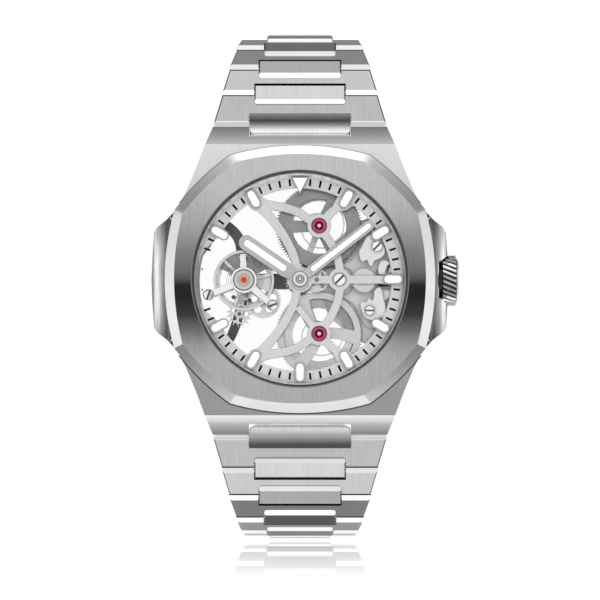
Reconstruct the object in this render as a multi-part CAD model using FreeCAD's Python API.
import FreeCAD, Part
import math
import os
from FreeCAD import Vector

# Skeleton wristwatch with a one-minute cage, two barrels and an H-link bracelet.
# Millimetres. +X to 3 o'clock and the crown, +Z to 12 o'clock, the dial faces -Y.
# The origin is on the hands' axis in the plane of the case back's outer face.
# A depth is measured from that plane towards the dial (depth = -y), so each part
# runs from a smaller depth, its back, to a larger one, its front.
# Angles in the dial plane run from +X towards +Z, in degrees. A place is (x, z).

os.makedirs("parts", exist_ok=True)

X_DIR = Vector(1, 0, 0)
FRONT_DIR = Vector(0, -1, 0)
AXIS = (0, 0)                # the hands' axis

# ---- case ----
LUG_END = 22.35              # z of the lug ends at the link line
LUG_HALF_W = 12.4            # half width of the lugs at their ends
LUG_DEPTH = 4.5              # middle of the lug's end face
LUG_ANGLE = 8.0              # slope of the end pieces and of the lugs' end faces
EAR_X = 21.35                # half width over the two side ears
CASE_BACK, CASE_FRONT = 1.0, 8.0
CASE_BORE = 16.1
BEZEL_BACK, BEVEL_START, BEZEL_FRONT = 8.05, 9.25, 10.6
BEZEL_ARC = 36.4             # radius of the bezel's eight bowed sides
CRYSTAL_R = 15.15
GASKET_R = 15.55
STEM_DEPTH = 4.6
CROWN_R = 3.62
CROWN_X0, CROWN_X1 = 19.95, 22.75
# ---- dial ring and hour indices ----
RING_IN, RING_OUT = 13.1, 14.9
RING_BACK, RING_FRONT = 7.6, 8.0
INDEX_IN, INDEX_OUT, INDEX_W = 11.85, 14.75, 1.5
INDEX_FRONT = 8.6
# ---- movement layout ----
BARREL_X, BARREL_Z = 2.75, 7.75
HUB = (5.66, 0)              # hub with the bridge screw
CAGE = (-8.07, 0)
CAGE_CUT = 7.0               # radius cleared around the cage in the rings of plate and dial
MINUTE_WHEEL = (2.4, 0)
CROWN_WHEEL = (9.2, 0)
PLATE_BACK, PLATE_FRONT = 2.0, 2.8
SUPPORT_FRONT = PLATE_FRONT - 0.1
BRIDGE_BACK, BRIDGE_FRONT = 6.6, 7.55
KEY_BACK, KEY_FRONT = 6.05, 6.5           # keyless plates
KEY_SCREWS = [(11.1, 4.85), (10.0, -4.4)]
KEY_EYE = (11.6, -5.65)                   # small eye in the lower keyless plate
# ---- gear train: tooth counts, and modules from the axis distances ----
N_CENTRE, N_BARREL = 32, 96
N_CANNON, N_MINUTE = 12, 36
N_MINUTE_PINION, N_HOUR = 10, 40
N_FIXED, N_ESCAPE_PINION = 84, 14
N_CAGE_PINION, N_THIRD = 24, 39
THIRD_ANGLE, THIRD_DIST = -45.8, 3.99     # third wheel seen from the cage axis
ESCAPE_ANGLE, ESCAPE_DIST = 262.0, 4.85   # escape wheel seen from the cage axis
PALLET_ANGLE, PALLET_DIST = 259.0, 2.45   # pallet fork seen from the cage axis
MODULE_BARREL = 2 * math.hypot(BARREL_X, BARREL_Z) / (N_CENTRE + N_BARREL)
MODULE_MINUTE = 2 * MINUTE_WHEEL[0] / (N_CANNON + N_MINUTE)
MODULE_HOUR = 2 * MINUTE_WHEEL[0] / (N_MINUTE_PINION + N_HOUR)
MODULE_FIXED = 2 * ESCAPE_DIST / (N_FIXED + N_ESCAPE_PINION)
MODULE_THIRD = 2 * THIRD_DIST / (N_THIRD + N_CAGE_PINION)
# ---- cage ----
CAGE_BACK, CAGE_FRONT = 3.95, 4.25        # cage base
CAGE_TOP_BACK, CAGE_TOP_FRONT = 6.25, 6.75
CAGE_ARMS = (203.0, 318.5)                # angles of the two pillars
CAGE_PILLAR_DIST = 5.5
# ---- bracelet ----
PITCH = 4.3
HALF_T = 1.15                # half of a link's thickness
LEAD_IN = 1.0                # from a link's near end face to its hinge
GAP = 0.1
LINK_ANGLES = [20, 32, 48, 69.5, 84, 100, 118, 136, 152, 166]
WIDTHS = [24.8, 22.5, 20.5, 18.6, 17.4, 16.6, 16.2, 15.9, 15.7, 15.5, 15.4]
CENTRE_WIDTHS = [14.6, 13.1, 11.9, 10.4, 9.6, 9.3, 9.2, 9.1, 9.0, 9.0, 9.0]
PIN_R, PIN_BORE = 0.33, 0.37
PIN_FIT = PIN_R + 0.01       # bore that holds a pin tight


# ---------------------------------------------------------------- solids
def point(x, depth, z):
    return Vector(x, -depth, z)


def extruded(points, direction):
    return Part.Face(Part.makePolygon(points + [points[0]])).extrude(direction)


def prism(outline, back, front):
    """A plate from an outline in (x, z)."""
    return extruded([point(x, back, z) for x, z in outline], Vector(0, back - front, 0))


def prism_x(outline, x0, x1):
    """A prism along x from an outline in (y, z)."""
    return extruded([Vector(x0, y, z) for y, z in outline], Vector(x1 - x0, 0, 0))


def disc(centre, radius, back, front):
    x, z = centre
    return Part.makeCylinder(radius, front - back, point(x, back, z), FRONT_DIR)


def cone(centre, back_r, front_r, back, front):
    x, z = centre
    return Part.makeCone(back_r, front_r, front - back, point(x, back, z), FRONT_DIR)


def tube(centre, inner_r, outer_r, back, front):
    return disc(centre, outer_r, back, front).cut(disc(centre, inner_r, back - 1, front + 1))


def facet_disc(centre, radius, back, front, sides):
    """A disc with a many-sided rim."""
    return prism([polar(centre, radius, 360.0 * i / sides) for i in range(sides)], back, front)


def facet_ring(centre, inner_r, outer_r, back, front, sides):
    hole = facet_disc(centre, inner_r, back - 1, front + 1, sides)
    return facet_disc(centre, outer_r, back, front, sides).cut(hole)


def rod_x(x0, x1, place_yz, radius):
    return Part.makeCylinder(radius, x1 - x0, Vector(x0, *place_yz), X_DIR)


def stem_rod(x0, x1, radius):
    """A rod on the winding stem's axis."""
    return rod_x(x0, x1, (-STEM_DEPTH, 0), radius)


def fuse(shapes):
    shape = shapes[0]
    if len(shapes) > 1:
        shape = shape.multiFuse(shapes[1:])
    return shape.removeSplitter()


def save(name, *shapes):
    solids = [solid for shape in shapes for solid in shape.Solids]
    result = solids[0] if len(solids) == 1 else Part.makeCompound(solids)
    result.exportStep("parts/" + name + ".step")


# ---------------------------------------------------------------- outlines
def polar(centre, radius, degrees):
    angle = math.radians(degrees)
    return (centre[0] + radius * math.cos(angle), centre[1] + radius * math.sin(angle))


def dial_angle(hour):
    return 90 - 30 * hour


def mirrored(outline, side):
    """The outline as it is for side 1, mirrored to -z for side -1."""
    return [(x, side * z) for x, z in outline]


def rectangle(x0, x1, z0, z1):
    return [(x0, z0), (x1, z0), (x1, z1), (x0, z1)]


def strip(line, start_width, end_width=None):
    """Outline of a band of varying width along a polyline."""
    end_width = start_width if end_width is None else end_width
    left, right = [], []
    last = len(line) - 1
    for i, (x, z) in enumerate(line):
        before, after = line[max(i - 1, 0)], line[min(i + 1, last)]
        dx, dz = after[0] - before[0], after[1] - before[1]
        length = math.hypot(dx, dz)
        half = (start_width + (end_width - start_width) * i / last) / 2
        left.append((x - dz / length * half, z + dx / length * half))
        right.append((x + dz / length * half, z - dx / length * half))
    return left + right[::-1]


def curve(start, control, end, steps):
    """Points of a quadratic curve."""
    return [tuple((1 - s) ** 2 * start[j] + 2 * s * (1 - s) * control[j] + s * s * end[j]
                  for j in (0, 1)) for s in [i / steps for i in range(steps + 1)]]


def spline_span(p0, p1, p2, p3, steps):
    """Catmull-Rom points from p1 up to, but without, p2."""
    return [tuple(0.5 * (2 * p1[j] + (p2[j] - p0[j]) * s
                         + (2 * p0[j] - 5 * p1[j] + 4 * p2[j] - p3[j]) * s * s
                         + (3 * p1[j] - p0[j] - 3 * p2[j] + p3[j]) * s ** 3)
                  for j in (0, 1)) for s in [k / steps for k in range(steps)]]


def spline(points):
    """A smooth line through the given points."""
    out = []
    last = len(points) - 1
    for i in range(last):
        out += spline_span(points[max(i - 1, 0)], points[i], points[i + 1],
                           points[min(i + 2, last)], 6)
    return out + [points[-1]]


def closed_spline(points, steps):
    out = []
    count = len(points)
    for i in range(count):
        out += spline_span(points[i - 1], points[i], points[(i + 1) % count],
                           points[(i + 2) % count], steps)
    return out


def slot(centre, length, width, degrees, steps=8):
    """A bar with round ends, its long side at the given angle."""
    radius, reach = width / 2, length / 2 - width / 2
    out = []
    for turn in (0, 180):
        end = polar(centre, reach, degrees + turn)
        out += [polar(end, radius, degrees + turn - 90 + 180 * i / steps)
                for i in range(steps + 1)]
    return out


def gear_outline(centre, teeth, radius, addendum, dedendum, phase, root=0.27, tip=0.13):
    """root and tip are a tooth's half widths as fractions of the tooth step."""
    step = 360.0 / teeth
    low, high = radius - dedendum, radius + addendum
    return [polar(centre, r, phase + (i + shift) * step) for i in range(teeth)
            for shift, r in ((-root, low), (-tip, high), (tip, high), (root, low))]


def gear(centre, teeth, module, phase, back, front, addendum=0.75, dedendum=0.95, **widths):
    """A toothed disc; addendum and dedendum are in modules."""
    outline = gear_outline(centre, teeth, module * teeth / 2, addendum * module,
                           dedendum * module, phase, **widths)
    return prism(outline, back, front)


def mesh_phase(teeth_a, phase_a, angle, teeth_b):
    """Phase of gear b, seen from a at the angle, that puts a gap where a has a tooth."""
    return angle + 180 + 180.0 / teeth_b - (phase_a - angle) * teeth_a / teeth_b


def spiral(centre, start_r, end_r, turns, width, back, front, start_angle, per_turn=22):
    count = int(turns * per_turn)
    outer, inner = [], []
    for i in range(count + 1):
        angle = start_angle + 360.0 * turns * i / count
        radius = start_r + (end_r - start_r) * i / count
        outer.append(polar(centre, radius + width / 2, angle))
        inner.append(polar(centre, radius - width / 2, angle))
    return prism(outer + inner[::-1], back, front)


def slotted_screw(centre, radius, back, front, slot_angle, slot_depth, shank=None):
    """A screw head with a chamfered, slotted front; shank is (radius, depth of its end)."""
    head = fuse([disc(centre, radius, back, front - 0.08),
                 cone(centre, radius, radius - 0.08, front - 0.08, front)])
    if shank:
        head = fuse([head, disc(centre, shank[0], shank[1], back + 0.01)])
    half_w = 0.13 * radius + 0.02
    cutter = Part.makeBox(2 * radius + 1, 2, 2 * half_w,
                          Vector(-radius - 0.5, -front + slot_depth - 2, -half_w))
    cutter.rotate(Vector(0, 0, 0), Vector(0, 1, 0), -slot_angle)
    cutter.translate(Vector(centre[0], 0, centre[1]))
    return head.cut(cutter)


THIRD = polar(CAGE, THIRD_DIST, THIRD_ANGLE)
ESCAPE = polar(CAGE, ESCAPE_DIST, ESCAPE_ANGLE)
PALLET = polar(CAGE, PALLET_DIST, PALLET_ANGLE)
CAGE_PILLARS = [polar(CAGE, CAGE_PILLAR_DIST, angle) for angle in CAGE_ARMS]


def cage_clearance():
    return disc(CAGE, CAGE_CUT, 1, 9)


# ---------------------------------------------------------------- mid case
# (x, z) along the first quarter, from the lug's end to just before the ear's tip
CASE_QUARTER = [
    (LUG_HALF_W, 22.6), (12.75, 21.6), (13.66, 19.3), (14.9, 16.0), (16.2, 12.9), (17.15, 11.0),
    (18.0, 9.75), (19.1, 8.6), (20.55, 7.5), (20.95, 6.8), (21.2, 3.4),
]
NOTCH_Z, NOTCH_LENGTH = 20.65, 4
LUG_COS = math.cos(math.radians(LUG_ANGLE))
LUG_SIN = math.sin(math.radians(LUG_ANGLE))


def wedge_x(outline, side, half_width):
    """A prism along x from an outline in (z, depth), on the side of z given by side."""
    return prism_x([(-depth, side * z) for z, depth in outline], -half_width, half_width)


def wedge_z(outline, side, half_length):
    """A prism along z from an outline in (x, depth), on the side of x given by side."""
    points = [point(side * x, depth, -half_length) for x, depth in outline]
    return extruded(points, Vector(0, 0, 2 * half_length))


def mid_case():
    quarter = CASE_QUARTER
    outline = ([(EAR_X, 0)] + quarter[::-1] + [(-x, z) for x, z in quarter] + [(-EAR_X, 0)]
               + [(-x, -z) for x, z in quarter[::-1]] + [(x, -z) for x, z in quarter])
    body = prism(outline, CASE_BACK, CASE_FRONT).cut(disc(AXIS, CASE_BORE, -1, 20))

    over, under = CASE_FRONT + 0.1, CASE_BACK - 0.1
    lug_front_slope = [(19.45, over), (19.45, CASE_FRONT), (LUG_END, LUG_DEPTH + HALF_T + 0.1),
                       (23.5, 5.0), (23.5, over)]
    lug_back_slope = [(13.5, under), (13.5, CASE_BACK), (LUG_END, LUG_DEPTH - HALF_T - 0.1),
                      (23.5, 3.9), (23.5, under)]
    # the end face is square to the end piece; the cutter reaches 5 either way along it
    run, rise = 5 * LUG_SIN, 5 * LUG_COS
    lug_end_face = [(LUG_END - run, LUG_DEPTH + rise), (LUG_END + run, LUG_DEPTH - rise),
                    (26, LUG_DEPTH - rise), (26, LUG_DEPTH + rise)]
    ear_front_slope = [(18.7, over), (18.7, CASE_FRONT), (20.3, 7.35), (21.6, 6.1),
                       (23, 6.1), (23, over)]
    ear_back_slope = [(17.9, under), (17.9, CASE_BACK), (21.6, 2.9), (23, 2.9), (23, under)]
    notch_width = CENTRE_WIDTHS[0] + 0.14
    cuts = []
    for side in (1, -1):
        cuts.append(wedge_x(lug_front_slope, side, 16))
        cuts.append(wedge_x(lug_back_slope, side, 18))
        cuts.append(wedge_x(lug_end_face, side, 16))
        # the notch for the end piece
        notch_z = NOTCH_Z if side > 0 else -NOTCH_Z - NOTCH_LENGTH
        cuts.append(Part.makeBox(notch_width, 20, NOTCH_LENGTH,
                                 Vector(-notch_width / 2, -12, notch_z)))
        cuts.append(wedge_z(ear_front_slope, side, 9.6))
        cuts.append(wedge_z(ear_back_slope, side, 12))
    # the crown's recess and the stem's bore
    cuts.append(stem_rod(19.8, 25, CROWN_R + 0.28))
    cuts.append(stem_rod(14, 21, 1.3))
    return body.cut(cuts)


# ---------------------------------------------------------------- bracelet
class LinkFrame:
    """Axes of a bracelet piece: along runs down the strand, out points off the wrist.

    hinge is the (z, y) of the near hinge; side is 1 for the 12 o'clock strand, -1 for
    the 6 o'clock one, which is its mirror image.
    """

    def __init__(self, hinge, degrees, side):
        self.hinge_z, self.hinge_y = hinge
        self.cos = math.cos(math.radians(degrees))
        self.sin = math.sin(math.radians(degrees))
        self.side = side

    def at(self, x, along, out):
        y = self.hinge_y + along * self.sin - out * self.cos
        z = self.hinge_z + along * self.cos + out * self.sin
        return Vector(x, y, self.side * z)

    def slab(self, outline, x0, x1):
        """A prism along x from an outline in (along, out)."""
        points = [self.at(x0, along, out) for along, out in outline]
        return extruded(points, Vector(x1 - x0, 0, 0))

    def rod(self, x0, x1, along, radius):
        return Part.makeCylinder(radius, x1 - x0, self.at(x0, along, 0), X_DIR)

    def plate(self, outline):
        """A prism through the whole thickness from an outline in (x, along)."""
        reach = 3
        points = [self.at(x, along, -reach) for x, along in outline]
        return extruded(points, self.at(0, 0, reach).sub(self.at(0, 0, -reach)))

    def bevel_section(self, hand, half_width, size, top, along):
        """Corner points that bevel the edge at x = hand * half_width, below out = top."""
        inside, outside = half_width - size, half_width + 0.3
        corners = [(inside, top), (outside, top - size - 0.3), (outside, top + 0.3),
                   (inside, top + 0.3)]
        return [self.at(hand * x, along, out) for x, out in corners]

    def side_bevels(self, half_width, size, top, start, end):
        travel = self.at(0, end, 0).sub(self.at(0, start, 0))
        return [extruded(self.bevel_section(hand, half_width, size, top, start), travel)
                for hand in (1, -1)]

    def taper_bevels(self, start_half, end_half, size, top, start, end):
        """Bevels along edges that run from start_half at start to end_half at end."""
        out = []
        for hand in (1, -1):
            sections = []
            for half_width, along in ((start_half, start), (end_half, end)):
                points = self.bevel_section(hand, half_width, size, top, along)
                sections.append(Part.makePolygon(points + [points[0]]))
            out.append(Part.makeLoft(sections, True, True))
        return out


def hinge_line():
    """(z, y) of the strand's hinges, from the one by the lug to the one at the clasp."""
    lead = LEAD_IN + GAP
    hinges = [(LUG_END + lead * LUG_COS, -LUG_DEPTH + lead * LUG_SIN)]
    for degrees in LINK_ANGLES:
        z, y = hinges[-1]
        angle = math.radians(degrees)
        hinges.append((z + PITCH * math.cos(angle), y + PITCH * math.sin(angle)))
    return hinges


HINGES = hinge_line()
CENTRE_RISE = 1.45           # outer face of a centre piece
# (along, out) side outlines of a centre piece, measured from its hinge
HINGE_UNDERSIDE = [(0.6, -0.02), (0.5, -0.34), (0.3, -0.55), (0.0, -0.66), (-0.9, -0.95)]
CENTRE_SIDE = [(-2.6, -0.95), (-2.6, 0.72), (-1.82, CENTRE_RISE), (0.3, CENTRE_RISE),
               (0.6, 1.12)] + HINGE_UNDERSIDE
END_PIECE_SIDE = [(-2.6, -0.95), (-2.6, 0.7), (-2.4, 1.0), (-1.9, 1.25), (-1.2, 1.4),
                  (-0.5, 1.42), (0.1, 1.28), (0.6, 0.95)] + HINGE_UNDERSIDE


def rounded_block(half_width, start, end, radius, steps=4):
    """(x, along) outline with its two corners at start rounded."""
    corner = (half_width - radius, start + radius)
    half = [(half_width, end)]
    half += [polar(corner, radius, -90.0 * i / steps) for i in range(steps + 1)]
    return half + [(-x, along) for x, along in half[::-1]]


def centre_piece(number, frame):
    """The raised piece at a link's far hinge; number 0 is the crowned end piece."""
    half = CENTRE_WIDTHS[number] / 2
    side_outline = CENTRE_SIDE if number else END_PIECE_SIDE
    body = frame.slab([(PITCH + along, out) for along, out in side_outline], -half, half)
    corner_r = 0.5 if number else 0.85
    body = body.common(frame.plate(rounded_block(half, PITCH - 2.6, PITCH + 2.0, corner_r)))
    if number:
        body = body.cut(frame.side_bevels(half, 0.16, CENTRE_RISE, PITCH - 3.5, PITCH + 1.5))
    return body.cut(frame.rod(-10, 10, PITCH, PIN_BORE))


def end_links():
    """The end pieces that fill the lug notches."""
    z, y = HINGES[0]
    near = (z - PITCH * LUG_COS, y - PITCH * LUG_SIN)
    return [centre_piece(0, LinkFrame(near, LUG_ANGLE, side)) for side in (1, -1)]


def link(number, side):
    """Link 1 to 10: an H frame, the centre piece at its far end, the pin at its near hinge."""
    frame = LinkFrame(HINGES[number - 1], LINK_ANGLES[number - 1], side)
    near_half, far_half = WIDTHS[number - 1] / 2, WIDTHS[number] / 2
    near_slot = CENTRE_WIDTHS[number - 1] / 2 + 0.08
    far_slot = CENTRE_WIDTHS[number] / 2 + 0.05
    start, end = -LEAD_IN, PITCH - LEAD_IN - GAP
    if number == 1:
        near_edge = [(start, HALF_T - 0.1), (start + 0.1, HALF_T)]
    else:
        near_edge = [(start, 0.6), (start + 0.55, HALF_T)]
    side_outline = [(start, 0.0)] + near_edge + [
        (end - 0.12, HALF_T), (end, HALF_T - 0.12), (end, -HALF_T + 0.35),
        (end - 0.35, -HALF_T), (0.0, -HALF_T), (-0.5, -0.86), (-0.86, -0.5)]
    body = frame.slab(side_outline, -near_half - 0.5, near_half + 0.5)

    # the sides lean in towards the clasp; the cutters overrun the link at both ends
    lean = (far_half - near_half) / (PITCH - GAP)
    before, beyond = 0.5, 5.0
    before_half, beyond_half = near_half - lean * before, near_half + lean * beyond
    for hand in (1, -1):
        body = body.cut(frame.plate([
            (hand * near_half, start), (hand * beyond_half, start + beyond),
            (hand * 20, start + beyond), (hand * 20, start - before),
            (hand * before_half, start - before)]))
    body = body.cut(frame.taper_bevels(before_half, beyond_half, 0.2, HALF_T,
                                       start - before, start + beyond))
    # the two slots of the H
    body = body.cut(frame.plate(rectangle(-near_slot, near_slot, -2, 0.72)))
    body = body.cut(frame.plate(rounded_block(far_slot, PITCH - 2.65, 6, 0.54)))
    body = body.cut(frame.rod(-14, 14, 0, PIN_FIT))
    pin = frame.rod(-near_half + 0.25, near_half - 0.25, 0, PIN_R)
    return [body, centre_piece(number, frame), pin]


# ---------------------------------------------------------------- clasp
# The cover and blades follow a bow, curved outwards, between the strands' last hinges.
# A place on it is a distance from its middle (+ towards 12) and a height outside it.
END_Z, END_Y = HINGES[-1]
STRAND_12, STRAND_6 = (END_Y, END_Z), (END_Y, -END_Z)     # (y, z) of the last hinges
BOW_ANGLE = math.radians(14.0)
BOW_R = END_Z / math.sin(BOW_ANGLE)
BOW_Y = END_Y - BOW_R * math.cos(BOW_ANGLE)               # y of the bow's centre
BOW_HALF = BOW_ANGLE * BOW_R                              # half length, hinge to middle
COVER_HALF_W = WIDTHS[-1] / 2
BLADE_HALF_W = COVER_HALF_W - 1.05
TONGUE_HALF_W = 3.0                                       # split between knuckles at the fold
LAST_SLOT = CENTRE_WIDTHS[-1] / 2 + 0.08
THROUGH = 20                                              # half length of a bore's cutter
# (along, out) side outline of the cheeks beside the last centre piece
CHEEK_SIDE = [(-LEAD_IN, 0.0), (-LEAD_IN, 0.9), (-LEAD_IN + 0.5, 1.5), (1.9, 1.72), (2.3, 0.6),
              (2.3, -1.15), (0.0, -HALF_T), (-0.5, -0.86), (-0.86, -0.5)]


def bow_point(distance, height):
    """(y, z) of a place on the bow."""
    angle = distance / BOW_R
    radius = BOW_R + height
    return (BOW_Y + radius * math.cos(angle), radius * math.sin(angle))


def bow_slab(low, high, start, end, x0, x1, steps):
    places = [start + (end - start) * i / steps for i in range(steps + 1)]
    outer = [bow_point(place, high) for place in places]
    inner = [bow_point(place, low) for place in places]
    return prism_x(outer + inner[::-1], x0, x1)


COVER_HINGE = bow_point(-(BOW_HALF - 3.4), 0.15)
FOLD_HINGE = bow_point(BOW_HALF - 5.2, -0.55)
PUSH_Y, PUSH_Z = bow_point(0.0, -0.2)


def cross_rod(place_yz, half_length, radius):
    return rod_x(-half_length, half_length, place_yz, radius)


def clasp_cover():
    half = COVER_HALF_W
    top = bow_slab(0.75, 1.75, -(BOW_HALF - 3.0), BOW_HALF - 1.3, -half, half, 14)
    walls = [bow_slab(-1.3, 0.8, -(BOW_HALF - 2.3), BOW_HALF - 1.3, x0, x1, 14)
             for x0, x1 in ((-half, -half + 0.9), (half - 0.9, half))]
    # two cheeks hold the 12-side strand's last centre piece
    frame = LinkFrame(HINGES[-1], LINK_ANGLES[-1] + 3.0, 1)
    cheeks = [frame.slab(CHEEK_SIDE, x0, x1)
              for x0, x1 in ((-half, -LAST_SLOT), (LAST_SLOT, half))]
    cover = fuse([top] + walls + cheeks)
    cover = cover.cut(cross_rod(STRAND_12, THROUGH, PIN_FIT))
    cover = cover.cut(frame.plate(rectangle(-LAST_SLOT, LAST_SLOT, -2, 0.95)))
    # slots for the two push pieces
    for hand in (-1, 1):
        corner = Vector(hand * (half - 0.45) - 0.8, PUSH_Y - 0.58, PUSH_Z - 2.08)
        cover = cover.cut(Part.makeBox(1.6, 1.16, 4.16, corner))
    cover = cover.cut(cross_rod(COVER_HINGE, THROUGH, 0.33))
    return [cover, cross_rod(COVER_HINGE, half - 0.3, 0.32),
            cross_rod(STRAND_12, half - 0.3, PIN_R)]


def clasp_blade_inner():
    """The blade from the cover's pin at the 6 side to the fold by the 12 side."""
    half = BLADE_HALF_W
    blade = fuse([
        bow_slab(-0.2, 0.55, -(BOW_HALF - 3.9), BOW_HALF - 6.1, -half, half, 12),
        cross_rod(COVER_HINGE, half, 0.57)])
    # narrowed to a tongue at the fold
    fold_y, fold_z = FOLD_HINGE
    for x0, x1 in ((-half - 1, -TONGUE_HALF_W), (TONGUE_HALF_W, half + 1)):
        blade = blade.cut(Part.makeBox(x1 - x0, 3, 3.4, Vector(x0, fold_y - 1.2, fold_z - 1.35)))
    knuckle_half = TONGUE_HALF_W - 0.1
    blade = fuse([
        blade,
        bow_slab(-0.6, 0.2, BOW_HALF - 7.2, BOW_HALF - 5.4, -knuckle_half, knuckle_half, 2),
        cross_rod(FOLD_HINGE, knuckle_half, 0.7)])
    blade = blade.cut(cross_rod(COVER_HINGE, THROUGH, 0.35))
    return blade.cut(cross_rod(FOLD_HINGE, THROUGH, 0.39))


def clasp_blade_outer():
    """The blade from the fold to the 6-side strand's last hinge, and the fold's pin."""
    half = BLADE_HALF_W
    blade = bow_slab(-1.35, -0.65, -(BOW_HALF - 2.6), BOW_HALF - 6.3, -half, half, 12)
    gap_half = TONGUE_HALF_W - 0.02
    fold_y, fold_z = FOLD_HINGE
    blade = blade.cut(Part.makeBox(2 * gap_half, 6, 3.2, Vector(-gap_half, fold_y - 3, fold_z - 1.6)))
    ears = []
    for x0, x1 in ((-half, -TONGUE_HALF_W), (TONGUE_HALF_W, half)):
        ears.append(rod_x(x0, x1, FOLD_HINGE, 0.7))
        ears.append(bow_slab(-1.25, -0.55, BOW_HALF - 7.0, BOW_HALF - 5.4, x0, x1, 2))
    fork_in = CENTRE_WIDTHS[-1] / 2 + 0.12
    for x0, x1 in ((-half, -fork_in), (fork_in, half)):
        ears.append(rod_x(x0, x1, STRAND_6, 0.78))
        ears.append(bow_slab(-1.35, -0.05, -(BOW_HALF + 0.05), -(BOW_HALF - 1.2), x0, x1, 2))
        ears.append(bow_slab(-1.35, -0.65, -(BOW_HALF - 1.0), -(BOW_HALF - 2.8), x0, x1, 2))
    blade = fuse([blade] + ears)
    blade = blade.cut(cross_rod(FOLD_HINGE, THROUGH, 0.36))
    blade = blade.cut(cross_rod(STRAND_6, THROUGH, PIN_BORE))
    return [blade, cross_rod(FOLD_HINGE, half - 0.2, 0.35)]


def push_piece(hand):
    """The push piece on the +X side for hand 1, on the -X side for hand -1."""
    x0 = COVER_HALF_W - 0.55 if hand > 0 else -COVER_HALF_W - 0.5
    return Part.makeBox(1.05, 1.0, 4.0, Vector(x0, PUSH_Y - 0.5, PUSH_Z - 2.0))


# ---------------------------------------------------------------- bezel and crystal
def octagon_wire(corner_a, corner_b, depth):
    """Eight bowed sides; corner_a and corner_b are the corners in the first quadrant."""
    (ax, az), (bx, bz) = corner_a, corner_b
    corners = [(ax, az), (bx, bz), (bx, -bz), (ax, -az),
               (-ax, -az), (-bx, -bz), (-bx, bz), (-ax, az)]
    edges = []
    for i in range(8):
        start, end = corners[i], corners[(i + 1) % 8]
        mid_x, mid_z = (start[0] + end[0]) / 2, (start[1] + end[1]) / 2
        half = math.hypot(end[0] - start[0], end[1] - start[1]) / 2
        sag = BEZEL_ARC - math.sqrt(BEZEL_ARC * BEZEL_ARC - half * half)
        swell = 1 + sag / math.hypot(mid_x, mid_z)
        edges.append(Part.Arc(point(start[0], depth, start[1]),
                              point(mid_x * swell, depth, mid_z * swell),
                              point(end[0], depth, end[1])).toShape())
    return Part.Wire(edges)


def bezel():
    outer = ((10.0, 17.75), (17.95, 9.9))
    inner = ((9.2, 16.62), (16.72, 9.35))
    base = Part.Face(octagon_wire(*outer, BEZEL_BACK))
    base = base.extrude(Vector(0, BEZEL_BACK - BEVEL_START, 0))
    bevel = Part.makeLoft([octagon_wire(*outer, BEVEL_START),
                           octagon_wire(*inner, BEZEL_FRONT)], True, True)
    body = fuse([base, bevel])
    body = body.cut(disc(AXIS, GASKET_R + 0.01, 9.3, 20))
    return body.cut(disc(AXIS, CRYSTAL_R + 0.02, 0, 20))


def crystal():
    chamfer_start = 10.62
    return fuse([disc(AXIS, CRYSTAL_R, 9.5, chamfer_start),
                 cone(AXIS, CRYSTAL_R, CRYSTAL_R - 0.2, chamfer_start, 10.82)])


# ---------------------------------------------------------------- case back
BACK_SCREWS = [polar(AXIS, 16.35, 30 + 60 * i) for i in range(6)]
BACK_SCREW_FRONT = 0.75      # depth of the notches' floor


def case_back():
    window_r = 14.9
    body = fuse([disc(AXIS, 17.4, 0.12, 1.0), disc(AXIS, 16.0, 0.9, 1.75)])
    body = body.cut(disc(AXIS, window_r, -1, 3))
    body = fuse([body, tube(AXIS, window_r, 15.4, 0.0, 0.2), tube(AXIS, 14.55, 15.1, 1.35, 1.75)])
    return body.cut([disc(place, 0.75, -1, BACK_SCREW_FRONT) for place in BACK_SCREWS])


def case_back_screws():
    heads = []
    for i, (x, z) in enumerate(BACK_SCREWS):
        cutter = Part.makeBox(2.0, 0.3, 0.28, Vector(-1.0, -0.45, -0.14))
        cutter.rotate(Vector(0, 0, 0), Vector(0, 1, 0), 20 + 37 * i)
        cutter.translate(Vector(x, 0, z))
        heads.append(disc((x, z), 0.7, 0.2, BACK_SCREW_FRONT).cut(cutter))
    return heads


# ---------------------------------------------------------------- crown and stem
CROWN_RIBS = 28
CROWN_LAYERS, CROWN_TWIST = 4, 14.4       # loft layers and their whole turn in degrees


def stem_ring_point(x, radius, degrees):
    """A point round the stem's axis, the angle measured from the case back side."""
    angle = math.radians(degrees)
    return Vector(x, -STEM_DEPTH + radius * math.cos(angle), radius * math.sin(angle))


def rib_wire(x, turn):
    step = 360.0 / CROWN_RIBS
    points = [stem_ring_point(x, radius, turn + (i + shift) * step) for i in range(CROWN_RIBS)
              for shift, radius in ((-0.25, CROWN_R - 0.34), (0.25, CROWN_R))]
    return Part.makePolygon(points + [points[0]])


def crown():
    ribs_x0, ribs_x1 = CROWN_X0 + 0.55, CROWN_X1 - 0.35
    # short layers, each turned by less than half a rib, so the ribs run slanting
    wires = [rib_wire(ribs_x0 + (ribs_x1 - ribs_x0) * k / CROWN_LAYERS,
                      CROWN_TWIST * k / CROWN_LAYERS) for k in range(CROWN_LAYERS + 1)]
    knurl = Part.makeLoft(wires, True, True)
    shoulder = CROWN_R - 0.28
    body = fuse([
        Part.makeCone(2.7, shoulder, ribs_x0 - CROWN_X0, point(CROWN_X0, STEM_DEPTH, 0), X_DIR),
        knurl,
        Part.makeCone(shoulder, CROWN_R - 0.62, CROWN_X1 - ribs_x1,
                      point(ribs_x1, STEM_DEPTH, 0), X_DIR)])
    body = body.cut(stem_rod(CROWN_X0 - 1, CROWN_X0 + 1.6, 0.61))
    return body.cut(stem_rod(CROWN_X1 - 0.12, CROWN_X1 + 1, 2.2))


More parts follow.
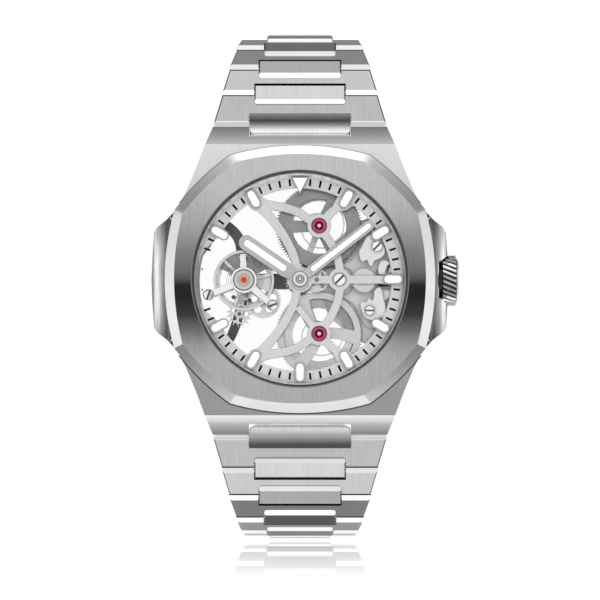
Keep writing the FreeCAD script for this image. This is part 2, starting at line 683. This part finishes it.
def winding_stem():
    stem = fuse([stem_rod(11.2, CROWN_X0 + 1.5, 0.6), stem_rod(17.0, 19.9, 1.15),
                 stem_rod(10.4, 11.3, 0.4)])
    # the groove for the setting lever
    stem = stem.cut(stem_rod(13.1, 13.55, 0.7).cut(stem_rod(13.0, 13.6, 0.42)))
    # the clutch: a fluted sleeve on the stem
    flutes = [stem_ring_point(11.35, radius, 30 * i + shift) for i in range(12)
              for shift, radius in ((-6, 1.0), (6, 1.0), (9, 0.82), (21, 0.82))]
    clutch = extruded(flutes, Vector(1.35, 0, 0)).cut(stem_rod(10, 15, 0.61))
    return [stem, clutch]


def setting_lever():
    """A fork in the stem's groove with a tail."""
    fork_x0, fork_x1 = 13.18, 13.47
    fork = prism([(fork_x0, 0.75), (fork_x0, -2.0), (fork_x1, -2.0), (fork_x1, 0.75)], 3.5, 5.8)
    fork = fork.cut(stem_rod(13, 14, 0.5))
    fork = fork.cut(prism(rectangle(13, 14, -0.49, 0.49), STEM_DEPTH, 6.5))
    tail = prism([(11.6, -1.45), (fork_x1, -1.45), (fork_x1, -2.0), (12.3, -2.9), (11.6, -2.9)],
                 5.4, 5.8)
    return fuse([fork, tail])


# ---------------------------------------------------------------- dial ring and indices
def dial_ring():
    chapter = tube(AXIS, RING_IN, RING_OUT, RING_BACK, RING_FRONT).cut(cage_clearance())
    rehaut = disc(AXIS, 15.1, 8.05, 9.28).cut(cone(AXIS, 14.72, 15.02, 8.04, 9.3))
    return [chapter, rehaut]


def index(outline, pocket, lume):
    """A raised index with a shallow pocket and the lume that fills it."""
    body = prism(outline, RING_FRONT + 0.01, INDEX_FRONT)
    body = body.cut(prism(pocket, INDEX_FRONT - 0.25, INDEX_FRONT + 1))
    return [body, prism(lume, INDEX_FRONT - 0.24, INDEX_FRONT + 0.04)]


def hour_indices():
    length = INDEX_OUT - INDEX_IN
    out = []
    for hour in (1, 2, 3, 4, 5, 6, 7, 8, 10, 11):
        angle = dial_angle(hour)
        middle = polar(AXIS, (INDEX_IN + INDEX_OUT) / 2, angle)
        out += index(slot(middle, length, INDEX_W, angle),
                     slot(middle, length - 0.52, INDEX_W - 0.54, angle),
                     slot(middle, length - 0.54, INDEX_W - 0.56, angle))
    # the triangle at 12
    out += index([(-1.23, 14.62), (1.23, 14.62), (0, 12.2)],
                 [(-1.0, 14.5), (1.0, 14.5), (0, 12.56)],
                 [(-0.98, 14.49), (0.98, 14.49), (0, 12.59)])
    return out


# ---------------------------------------------------------------- front bridge
# Webs of the 12 side, mirrored for the 6 side: (x, z) points of their middle lines
LONG_ARM = [(-6.6, 11.2), (-4.4, 9.1), (-2.85, 7.1), (-1.55, 4.9), (-0.75, 3.0), (-0.35, 1.0)]
ARCH = [(-6.6, 11.4), (-4.4, 10.75), (-2.2, 10.35), (-0.3, 9.7), (1.5, 8.5)]
JEWEL_TO_FOOT = [(3.4, 8.4), (4.6, 9.75), (6.0, 10.6), (7.6, 11.0)]
HUB_TO_JEWEL = [(5.75, 1.2), (5.35, 3.2), (4.4, 5.3), (3.4, 6.7)]
# (x, z) outline of the corner field where the long arm and the arch meet
CORNER_FIELD = [(-7.0, 11.9), (-5.9, 12.05), (-4.4, 11.35), (-3.9, 10.3), (-4.2, 9.2),
                (-5.0, 8.9), (-6.2, 10.0), (-7.0, 10.9)]


def top_bridge():
    def layer(outline):
        return prism(outline, BRIDGE_BACK, BRIDGE_FRONT)

    def round_layer(centre, radius):
        return facet_disc(centre, radius, BRIDGE_BACK, BRIDGE_FRONT, 60)

    def foot(hour, width):
        angle = dial_angle(hour)
        return layer(slot(polar(AXIS, 13.2, angle), 3.1, width, angle, 10))

    web = []
    for side, foot_hours in ((1, (11, 1)), (-1, (7, 5))):
        web.append(layer(strip(spline(mirrored(LONG_ARM, side)), 1.35, 1.15)))
        web.append(layer(strip(spline(mirrored(ARCH, side)), 1.3, 1.2)))
        web.append(layer(mirrored(CORNER_FIELD, side)))
        web.append(layer(strip(spline(mirrored(JEWEL_TO_FOOT, side)), 1.35, 0.9)))
        web.append(layer(strip(mirrored([(5.4, 10.2), (6.3, 11.6)], side), 1.7, 1.9)))
        web.append(layer(strip(spline(mirrored(HUB_TO_JEWEL, side)), 1.2)))
        web.append(round_layer((BARREL_X, side * BARREL_Z), 1.72))
        web += [foot(hour, 2.11) for hour in foot_hours]
    # a straight web towards the lower jewel, the centre, the hub and the 3 o'clock arm
    web.append(layer(strip([(-0.35, -3.9), (1.9, -6.7)], 0.95)))
    web.append(round_layer(AXIS, 1.86))
    web.append(round_layer(HUB, 1.62))
    web.append(layer(rectangle(0, 12.4, -0.6, 0.6)))
    web.append(foot(3, 1.37))
    holes = [facet_disc(AXIS, 0.9, 5, 9, 48), facet_disc(HUB, 0.55, 5, 9, 36),
             facet_disc(HUB, 1.0, BRIDGE_FRONT - 0.3, 9, 48),
             facet_disc(MINUTE_WHEEL, 0.3, 5, 9, 24)]
    holes += [facet_disc((BARREL_X, side * BARREL_Z), 1.12, 5, 9, 60) for side in (1, -1)]
    return fuse(web).cut(holes)


def bridge_jewels():
    """The barrels' rubies, held by the front bridge."""
    jewels = []
    for side in (1, -1):
        place = (BARREL_X, side * BARREL_Z)
        jewel = disc(place, 1.09, BRIDGE_BACK + 0.05, BRIDGE_FRONT + 0.02)
        jewel = jewel.cut(cone(place, 0.34, 0.75, BRIDGE_FRONT - 0.42, BRIDGE_FRONT + 0.1))
        jewels.append(jewel.cut(disc(place, 0.32, 5, 9)))
    return jewels


def bridge_screws():
    """The hub's screw and the two screws on the keyless plates."""
    seat, top = KEY_FRONT + 0.01, KEY_FRONT + 0.4
    return [slotted_screw(HUB, 0.9, BRIDGE_FRONT - 0.28, BRIDGE_FRONT + 0.22, 45, 0.22,
                          shank=(0.5, 2.9)),
            slotted_screw(KEY_SCREWS[0], 0.78, seat, top, 45, 0.2),
            slotted_screw(KEY_SCREWS[1], 0.7, seat, top, 0, 0.2)]


# ---------------------------------------------------------------- keyless plates
# (x, z) points of smooth outlines
UPPER_KEY = [(8.9, 4.9), (8.45, 3.95), (8.7, 2.9), (9.15, 2.65), (9.6, 2.9), (10.0, 2.05),
             (10.35, 2.05), (10.7, 2.75), (11.65, 3.2), (12.25, 4.05), (11.9, 5.25),
             (11.3, 6.2), (10.3, 6.6), (9.5, 6.1)]
LOWER_KEY = [(9.85, -2.6), (9.5, -3.15), (8.8, -3.15), (8.7, -3.9), (8.95, -4.75), (9.3, -5.4),
             (10.1, -5.75), (11.5, -6.15), (12.2, -5.1), (12.3, -3.9), (12.0, -2.6),
             (11.7, -1.25), (11.35, -1.0), (10.7, -1.5), (10.6, -2.2), (10.4, -2.9)]
YOKE = [(11.4, 0.75), (11.25, 1.9), (11.75, 2.75), (12.6, 2.7), (13.05, 1.9), (12.9, 1.0)]


def keyless_plates():
    def post(place, radius):
        return disc(place, radius, 3.11, KEY_BACK + 0.1)

    upper = fuse([prism(closed_spline(UPPER_KEY, 3), KEY_BACK, KEY_FRONT),
                  post(KEY_SCREWS[0], 0.5)])
    lower = fuse([prism(closed_spline(LOWER_KEY, 3), KEY_BACK, KEY_FRONT),
                  post(KEY_SCREWS[1], 0.5)])
    lower = lower.cut(disc(KEY_EYE, 0.2, 5, 8))
    # the round yoke by the 3 o'clock index, with a cut mouth
    yoke = prism(closed_spline(YOKE, 4), KEY_BACK, KEY_FRONT + 0.25)
    yoke = yoke.cut(prism(slot((12.6, 1.55), 1.4, 0.45, 70), 5, 8))
    yoke = fuse([yoke, post((11.9, 2.2), 0.3)])
    return [upper, lower, yoke, tube(KEY_EYE, 0.2, 0.34, KEY_FRONT + 0.01, KEY_FRONT + 0.3)]


# ---------------------------------------------------------------- barrels
def barrel(side, spoke_angles, spoke_lean, lid_inner, lid_outer):
    place = (BARREL_X, side * BARREL_Z)
    lid_back, lid_front = 5.3, 5.65
    angle = side * math.degrees(math.atan2(BARREL_Z, BARREL_X))
    teeth = gear(place, N_BARREL, MODULE_BARREL, mesh_phase(N_CENTRE, 0.0, angle, N_BARREL),
                 3.3, 3.95, addendum=0.8, dedendum=1.9, root=0.2, tip=0.11)
    teeth = teeth.cut(facet_disc(place, 5.0, 3, 5, 72))
    wall = facet_ring(place, 5.25, 5.75, 3.9, 5.35, 72)
    lid = facet_ring(place, lid_inner, lid_outer, lid_back, lid_front, 72)
    hub = facet_disc(place, 1.6, lid_back, lid_front, 48)
    spokes = []
    for spoke in spoke_angles:
        line = curve(polar(place, 1.0, spoke), polar(place, 3.0, spoke + spoke_lean * 0.2),
                     polar(place, lid_inner + 0.3, spoke + spoke_lean), 8)
        spokes.append(prism(strip(line, 1.5, 1.9), lid_back, lid_front))
    drum = fuse([teeth, wall, lid, hub] + spokes).cut(facet_disc(place, 0.62, 3, 7, 36))
    arbor = fuse([disc(place, 0.6, 3.0, 6.5), disc(place, 0.28, 2.1, 7.62),
                  disc(place, 1.0, 3.3, 5.2)])
    # the mainspring lies coiled against the drum wall, with one free turn in to the arbor
    spring = fuse([spiral(place, 3.85, 5.08, 6.5, 0.13, 3.75, 5.1, 40),
                   spiral(place, 1.03, 3.85, 1.25, 0.13, 3.75, 5.1, -50)])
    return [drum, arbor, spring]


# ---------------------------------------------------------------- motion work and hands
def centre_arbor():
    bore_r = 0.42
    arbor = fuse([disc(AXIS, bore_r, 2.1, 8.7), disc(AXIS, 0.36, 8.7, 9.42)])
    pinion = gear(AXIS, N_CENTRE, MODULE_BARREL, 0.0, 3.3, 3.9, addendum=0.8, dedendum=1.05)
    cannon = gear(AXIS, N_CANNON, MODULE_MINUTE, 0.0, 5.8, 6.0)
    return [arbor, pinion.cut(disc(AXIS, bore_r, 3, 5)), cannon.cut(disc(AXIS, bore_r, 5, 7))]


def minute_wheel():
    place = MINUTE_WHEEL
    phase = mesh_phase(N_CANNON, 0.0, 0.0, N_MINUTE)
    wheel = gear(place, N_MINUTE, MODULE_MINUTE, phase, 5.8, 6.0)
    wheel = wheel.cut([facet_disc(polar(place, 1.05, angle), 0.36, 5, 7, 20)
                       for angle in (45, 135, 225, 315)])
    pinion = gear(place, N_MINUTE_PINION, MODULE_HOUR, 0.0, 6.03, 6.23)
    return fuse([wheel, pinion, disc(place, 0.24, 2.1, 7.2), disc(place, 0.34, 5.95, 6.15)])


def hour_wheel():
    phase = mesh_phase(N_MINUTE_PINION, 0.0, 180.0, N_HOUR)
    wheel = gear(AXIS, N_HOUR, MODULE_HOUR, phase, 6.04, 6.22)
    return fuse([wheel, disc(AXIS, 0.78, 6.04, 8.32)]).cut(disc(AXIS, 0.48, 5, 9))


def hand(clock_angle, length, width, back, front, boss_r, hole_r, lume_w, lume_start, lume_end):
    """A round-ended hand and its lume; clock_angle is in degrees clockwise from 12."""
    angle = 90 - clock_angle
    blade_start = 1.35
    blade = prism(slot(polar(AXIS, (length + blade_start) / 2, angle), length - blade_start,
                       width, angle, 10), back, front)
    neck = prism(strip([polar(AXIS, 0.3, angle), polar(AXIS, 1.9, angle)], 0.9, width * 0.96),
                 back, front)
    body = fuse([blade, neck, disc(AXIS, boss_r, back, front + 0.12)])
    body = body.cut(disc(AXIS, hole_r, back - 1, front + 1))
    middle = polar(AXIS, (lume_start + lume_end) / 2, angle)
    lume_length = lume_end - lume_start
    body = body.cut(prism(slot(middle, lume_length, lume_w, angle), front - 0.12, front + 1))
    lume = prism(slot(middle, lume_length - 0.02, lume_w - 0.02, angle),
                 front - 0.11, front + 0.03)
    return [body, lume]


# ---------------------------------------------------------------- main plate
# (x, z) outline of the solid field on the 3 o'clock side
PLATE_FIELD = [(4.3, -5.2), (3.0, -2.4), (3.0, 2.4), (4.3, 5.2), (8.3, 8.6), (10.6, 9.4),
               (13.9, 4.0), (14.2, 0), (13.9, -4.0), (10.6, -9.4), (8.3, -8.6)]
# (x, z) points of the scalloped step under the crown wheel and the keyless plates
PLATE_STEP = [(7.3, 1.6), (7.9, 0.0), (7.3, -1.6), (6.1, -2.3), (7.6, -3.2), (8.4, -4.6),
              (9.6, -6.6), (11.6, -6.7), (12.9, -4.6), (12.9, -2.2), (11.0, -1.45),
              (11.0, 1.45), (12.9, 2.2), (12.9, 4.6), (11.6, 6.7), (9.6, 6.6), (8.4, 4.6),
              (7.6, 3.2), (6.1, 2.3)]


def main_plate():
    def layer(outline):
        return prism(outline, PLATE_BACK, PLATE_FRONT)

    barrels = [(BARREL_X, BARREL_Z), (BARREL_X, -BARREL_Z)]
    parts = [tube(AXIS, 13.9, 14.9, PLATE_BACK, PLATE_FRONT).cut(cage_clearance()),
             layer(PLATE_FIELD)]
    long_arm = [(-6.7, 12.3), (-4.2, 9.0), (-1.5, 4.9), (-0.4, 1.0)]
    for side, place in zip((1, -1), barrels):
        parts.append(layer(strip([(0, side * 0.5), place], 0.9)))
        parts.append(layer(strip(mirrored(long_arm, side), 0.9, 0.8)))
        parts.append(layer(strip([place, (6.9, side * 12.4)], 0.9, 1.0)))
        parts.append(facet_disc(place, 1.5, PLATE_BACK, PLATE_FRONT, 48))
    parts.append(facet_disc(AXIS, 1.7, PLATE_BACK, PLATE_FRONT, 48))
    parts.append(layer(rectangle(0, 4, -0.6, 0.6)))
    plate = fuse(parts).cut([disc(place, radius, 1, 4) for place, radius in (
        (barrels[0], 0.36), (barrels[1], 0.36), (AXIS, 0.5), (MINUTE_WHEEL, 0.3), (HUB, 0.51))])
    # pillars under the front bridge's feet at 7 and 11, and the tube under its hub
    column_back, column_front = PLATE_FRONT - 0.1, BRIDGE_BACK - 0.01
    pillars = [disc(polar(AXIS, 13.95, dial_angle(hour)), 0.62, column_back, column_front)
               for hour in (7, 11)]
    plate = fuse([plate] + pillars + [tube(HUB, 0.51, 0.95, column_back, column_front)])
    rim = tube(AXIS, 14.75, 16.0, 1.95, 7.5).cut(cage_clearance())
    return fuse([plate, rim.cut(stem_rod(12, 17, 1.25))])


def plate_step():
    """The raised step of the main plate with the crown wheel's post."""
    step = prism(closed_spline(PLATE_STEP, 3), PLATE_FRONT + 0.01, 3.1)
    return fuse([step, disc(CROWN_WHEEL, 0.45, 2.9, 5.2), disc(CROWN_WHEEL, 0.43, 5.15, 6.2),
                 disc(CROWN_WHEEL, 0.8, 2.9, 5.25)])


def crown_wheel():
    outline = gear_outline(CROWN_WHEEL, teeth=32, radius=1.93, addendum=0.12, dedendum=0.16,
                           phase=5.6)
    wheel = fuse([prism(outline, 5.35, 5.75), facet_disc(CROWN_WHEEL, 1.72, 5.7, 5.85, 60)])
    return wheel.cut(disc(CROWN_WHEEL, 0.49, 5, 7))


# ---------------------------------------------------------------- cage support, third wheel
# (x, z) points of the support's two curved arms, from the rim to the cage axis
UPPER_ARM = [(-12.0, 8.6), (-10.3, 7.8), (-8.95, 6.3), (-8.4, 4.2), (-8.2, 1.2)]
LOWER_ARM = [(-11.0, -9.5), (-10.0, -8.0), (-9.2, -6.0), (-8.5, -3.5), (-8.1, -1.0)]


def cage_support(plate):
    """The support, cut clear of the main plate, and the fixed wheel on three legs."""
    def layer(outline):
        return prism(outline, PLATE_BACK, SUPPORT_FRONT)

    parts = [layer(strip(spline(UPPER_ARM), 1.5, 1.6)),
             layer(strip(spline(LOWER_ARM), 1.3, 1.5)),
             layer([(-8.1, 1.1), (-1.5, 1.15), (-1.5, -1.15), (-8.1, -1.1)]),
             facet_disc(CAGE, 1.9, PLATE_BACK, SUPPORT_FRONT, 48)]
    for side in (1, -1):
        ring = tube(AXIS, 14.0, 14.7, PLATE_BACK, SUPPORT_FRONT)
        parts.append(ring.common(prism(mirrored([(-15, 5), (-8, 14), (-15, 15)], side), 1, 4)))
    parts.append(layer(strip([UPPER_ARM[0], (-11.2, 9.2)], 1.6)))
    parts.append(layer(strip([LOWER_ARM[0], (-9.8, -10.6)], 1.4)))
    support = fuse(parts).cut(disc(CAGE, 0.45, 1, 4))
    support = support.cut(disc(THIRD, 0.3, 1, 4)).cut(plate)

    fixed = gear(CAGE, N_FIXED, MODULE_FIXED, 0.0, 3.55, 3.8, dedendum=1.0)
    fixed = fixed.cut(facet_disc(CAGE, 3.5, 3, 5, 72))
    legs = [disc(polar(CAGE, 3.75, angle), 0.22, SUPPORT_FRONT - 0.01, 3.6)
            for angle in (90, 180, 262)]
    return [support, fuse([fixed] + legs)]


def third_wheel():
    phase = mesh_phase(N_CAGE_PINION, 0.0, THIRD_ANGLE, N_THIRD)
    wheel = gear(THIRD, N_THIRD, MODULE_THIRD, phase, 2.95, 3.15)
    wheel = wheel.cut([facet_disc(polar(THIRD, 1.45, angle), 0.55, 2, 4, 24)
                       for angle in (20, 92, 164, 236, 308)])
    return fuse([wheel, disc(THIRD, 0.24, 2.1, 3.4)])


# ---------------------------------------------------------------- cage
# ring sectors of the cage base: inner radius, outer radius, start angle, end angle
CAGE_SECTORS = [(2.1, 4.0, 28, 82), (2.1, 4.0, 98, 152), (0.8, 2.4, 20, 160),
                (2.0, 3.9, -25, 12), (0.8, 2.2, -30, 12)]


def cage_sector(inner_r, outer_r, start, end, steps=14):
    angles = [start + (end - start) * i / steps for i in range(steps + 1)]
    outer = [polar(CAGE, outer_r, angle) for angle in angles]
    inner = [polar(CAGE, inner_r, angle) for angle in angles]
    return prism(outer + inner[::-1], CAGE_BACK, CAGE_FRONT)


def cage_base():
    parts = [facet_disc(CAGE, 1.3, CAGE_BACK, CAGE_FRONT, 48)]
    for place in CAGE_PILLARS:
        parts.append(prism(strip([CAGE, place], 1.4, 1.0), CAGE_BACK, CAGE_FRONT))
        parts.append(facet_disc(place, 0.75, CAGE_BACK, CAGE_FRONT, 36))
        parts.append(disc(place, 0.5, CAGE_FRONT - 0.05, 6.2))
    parts += [cage_sector(*sector) for sector in CAGE_SECTORS]
    parts.append(prism(strip([CAGE, ESCAPE], 1.1, 0.9), CAGE_BACK, CAGE_FRONT))
    parts.append(facet_disc(ESCAPE, 0.75, CAGE_BACK, CAGE_FRONT, 30))
    base = fuse(parts).cut([disc(ESCAPE, 0.3, 3, 5), disc(PALLET, 0.26, 3, 5),
                            disc(CAGE, 0.33, 3, 5)])
    hub_front = CAGE_BACK + 0.05
    pinion = gear(CAGE, N_CAGE_PINION, MODULE_THIRD, 0.0, 2.9, 3.2)
    hub = fuse([pinion, disc(CAGE, 0.38, 2.1, hub_front), disc(CAGE, 0.7, 3.15, hub_front)])
    return fuse([base, hub]).cut(disc(CAGE, 0.2, 3.6, 5))


def cage_bridge():
    """The cage's front bridge with the shock setting."""
    back, front = CAGE_TOP_BACK, CAGE_TOP_FRONT
    stud_angle = 92
    parts = [disc(CAGE, 1.88, back, front)]
    for angle, place in zip(CAGE_ARMS, CAGE_PILLARS):
        parts.append(prism(strip([polar(CAGE, 1.5, angle), place], 1.0, 0.8),
                           back, front - 0.05))
        parts.append(disc(place, 0.86, back, front - 0.05))
    # a short third arm with the stud holder
    parts.append(prism(strip([polar(CAGE, 1.5, stud_angle), polar(CAGE, 3.75, stud_angle)],
                             1.0, 0.8), back, front - 0.1))
    bridge = fuse(parts)
    bridge = bridge.cut(tube(CAGE, 1.42, 1.6, front - 0.12, front + 1))
    bridge = bridge.cut(disc(CAGE, 0.8, front - 0.25, front + 1)).cut(disc(CAGE, 0.22, 6, 7))
    for place in CAGE_PILLARS:
        bridge = bridge.cut(disc(place, 0.36, 6, 7))
    ruby = disc(CAGE, 0.42, front - 0.24, front - 0.05)
    lyre = disc(CAGE, 0.76, front - 0.24, front - 0.02).cut(disc(CAGE, 0.45, 5, 8))
    lyre = lyre.cut([disc(polar(CAGE, 0.62, angle), 0.2, 5, 8) for angle in (90, 210, 330)])
    stud_line = [polar(CAGE, 2.55, stud_angle), polar(CAGE, 3.5, stud_angle + 3)]
    stud = prism(strip(stud_line, 0.75, 0.7), front - 0.09, front + 0.15)
    return [bridge, ruby, lyre, stud]


def cage_screws():
    screws = [slotted_screw(place, 0.78, CAGE_TOP_FRONT - 0.04, CAGE_TOP_FRONT + 0.3,
                            slot_angle, 0.22, shank=(0.34, 6.22))
              for place, slot_angle in zip(CAGE_PILLARS, (70, 20))]
    # two plain round heads on the cage base
    screws += [disc(polar(CAGE, radius, angle), 0.42, CAGE_FRONT + 0.01, CAGE_FRONT + 0.45)
               for radius, angle in ((3.25, 142), (3.2, 51))]
    return screws


# ---------------------------------------------------------------- balance
def balance_wheel():
    back, front = 5.25, 5.6
    parts = [facet_ring(CAGE, 3.96, 4.36, back, front + 0.1, 96),
             facet_disc(CAGE, 0.6, back, front, 36)]
    for angle in (135, 12, 250):      # spokes
        line = [polar(CAGE, 0.3, angle), polar(CAGE, 4.1, angle)]
        parts.append(prism(strip(line, 0.5, 0.42), back + 0.1, front - 0.05))
    for angle in (75, 192, 310):      # short blocks inside the rim
        line = [polar(CAGE, 3.45, angle), polar(CAGE, 4.05, angle)]
        parts.append(prism(strip(line, 0.45), back + 0.05, front))
    wheel = fuse(parts).cut(disc(CAGE, 0.2, 5, 6))
    staff = fuse([disc(CAGE, 0.195, 4.6, 6.2), disc(CAGE, 0.1, 4.0, 6.48),
                  disc(CAGE, 0.42, 5.0, 5.24)])
    return [wheel, staff]


# ---------------------------------------------------------------- escapement
ESCAPE_TEETH = 15
# corners of an escape wheel tooth: radius, angle from the tooth's own
ESCAPE_TOOTH = [(1.45, -9), (1.93, 1.5), (1.9, 3.5), (1.42, 2.0)]


def escape_wheel():
    phase = mesh_phase(N_FIXED, 0.0, ESCAPE_ANGLE, N_ESCAPE_PINION)
    pinion = gear(ESCAPE, N_ESCAPE_PINION, MODULE_FIXED, phase, 3.5, 3.85,
                  addendum=0.7, dedendum=0.9)
    outline = [polar(ESCAPE, radius, 360.0 * i / ESCAPE_TEETH + shift)
               for i in range(ESCAPE_TEETH) for radius, shift in ESCAPE_TOOTH]
    wheel = prism(outline, 4.45, 4.62)
    wheel = wheel.cut([facet_disc(polar(ESCAPE, 0.9, angle), 0.36, 4, 5, 20)
                       for angle in (0, 72, 144, 216, 288)])
    return fuse([wheel, pinion, disc(ESCAPE, 0.25, 3.45, 4.75), disc(ESCAPE, 0.4, 4.35, 4.55)])


def pallet_fork():
    back, front = 4.45, 4.65
    # (end of the arm, its width there): the fork towards the cage axis, then the pallets
    arms = [(polar(CAGE, 0.95, PALLET_ANGLE), 0.3), ((-9.5, -2.55), 0.35),
            ((-7.35, -2.75), 0.35)]
    parts = [prism(strip([PALLET, end], 0.5, width), back, front) for end, width in arms]
    fork = fuse(parts + [facet_disc(PALLET, 0.4, back, front, 24),
                         disc(PALLET, 0.2, 4.0, 4.85)])
    stones = [disc(place, 0.3, 4.66, 4.85) for place in ((-9.6, -2.4), (-7.25, -2.85))]
    return [fork] + stones


# ---------------------------------------------------------------- files
save("mid_case", mid_case())
save("end_links", *end_links())
for number in range(1, 11):
    save("link_12_%02d" % number, *link(number, 1))
    save("link_06_%02d" % number, *link(number, -1))
save("clasp_cover", *clasp_cover())
save("clasp_blade_inner", clasp_blade_inner())
save("clasp_blade_outer", *clasp_blade_outer())
save("push_piece_right", push_piece(1))
save("push_piece_left", push_piece(-1))
save("bezel", bezel())
save("crystal_gasket", tube(AXIS, CRYSTAL_R + 0.02, GASKET_R, 9.32, 10.68))
save("crystal", crystal())
save("case_back", case_back())
save("case_back_glass", disc(AXIS, 14.86, 0.0, 1.3))
save("case_back_screws", *case_back_screws())
save("crown", crown())
save("winding_stem", *winding_stem())
save("setting_lever", setting_lever())
save("dial_ring", *dial_ring())
save("hour_indices", *hour_indices())
save("top_bridge", top_bridge())
save("bridge_jewels", *bridge_jewels())
save("bridge_screws", *bridge_screws())
save("keyless_plates", *keyless_plates())
save("barrel_upper", *barrel(1, spoke_angles=(60, 180, 300), spoke_lean=0,
                             lid_inner=4.0, lid_outer=5.95))
save("barrel_lower", *barrel(-1, spoke_angles=(8, 130, 250), spoke_lean=-14,
                             lid_inner=5.1, lid_outer=6.05))
save("centre_arbor", *centre_arbor())
save("minute_wheel", minute_wheel())
save("hour_wheel", hour_wheel())
save("hour_hand", *hand(clock_angle=304.35, length=10.4, width=2.2, back=8.05, front=8.3,
                        boss_r=1.45, hole_r=0.785, lume_w=0.84, lume_start=2.5, lume_end=9.55))
save("minute_hand", *hand(clock_angle=52.2, length=13.2, width=1.5, back=8.85, front=9.08,
                          boss_r=1.17, hole_r=0.365, lume_w=0.62, lume_start=2.1,
                          lume_end=12.7))
save("crown_wheel", crown_wheel())
plate = main_plate()
save("main_plate", plate, plate_step())
save("cage_support", *cage_support(plate))
save("third_wheel", third_wheel())
save("cage_base", cage_base())
save("cage_bridge", *cage_bridge())
save("cage_screws", *cage_screws())
save("balance_wheel", *balance_wheel())
save("hairspring", spiral(CAGE, 0.5, 2.7, 7, 0.07, 5.8, 6.0, 20, per_turn=20))
save("escape_wheel", escape_wheel())
save("pallet_fork", *pallet_fork())
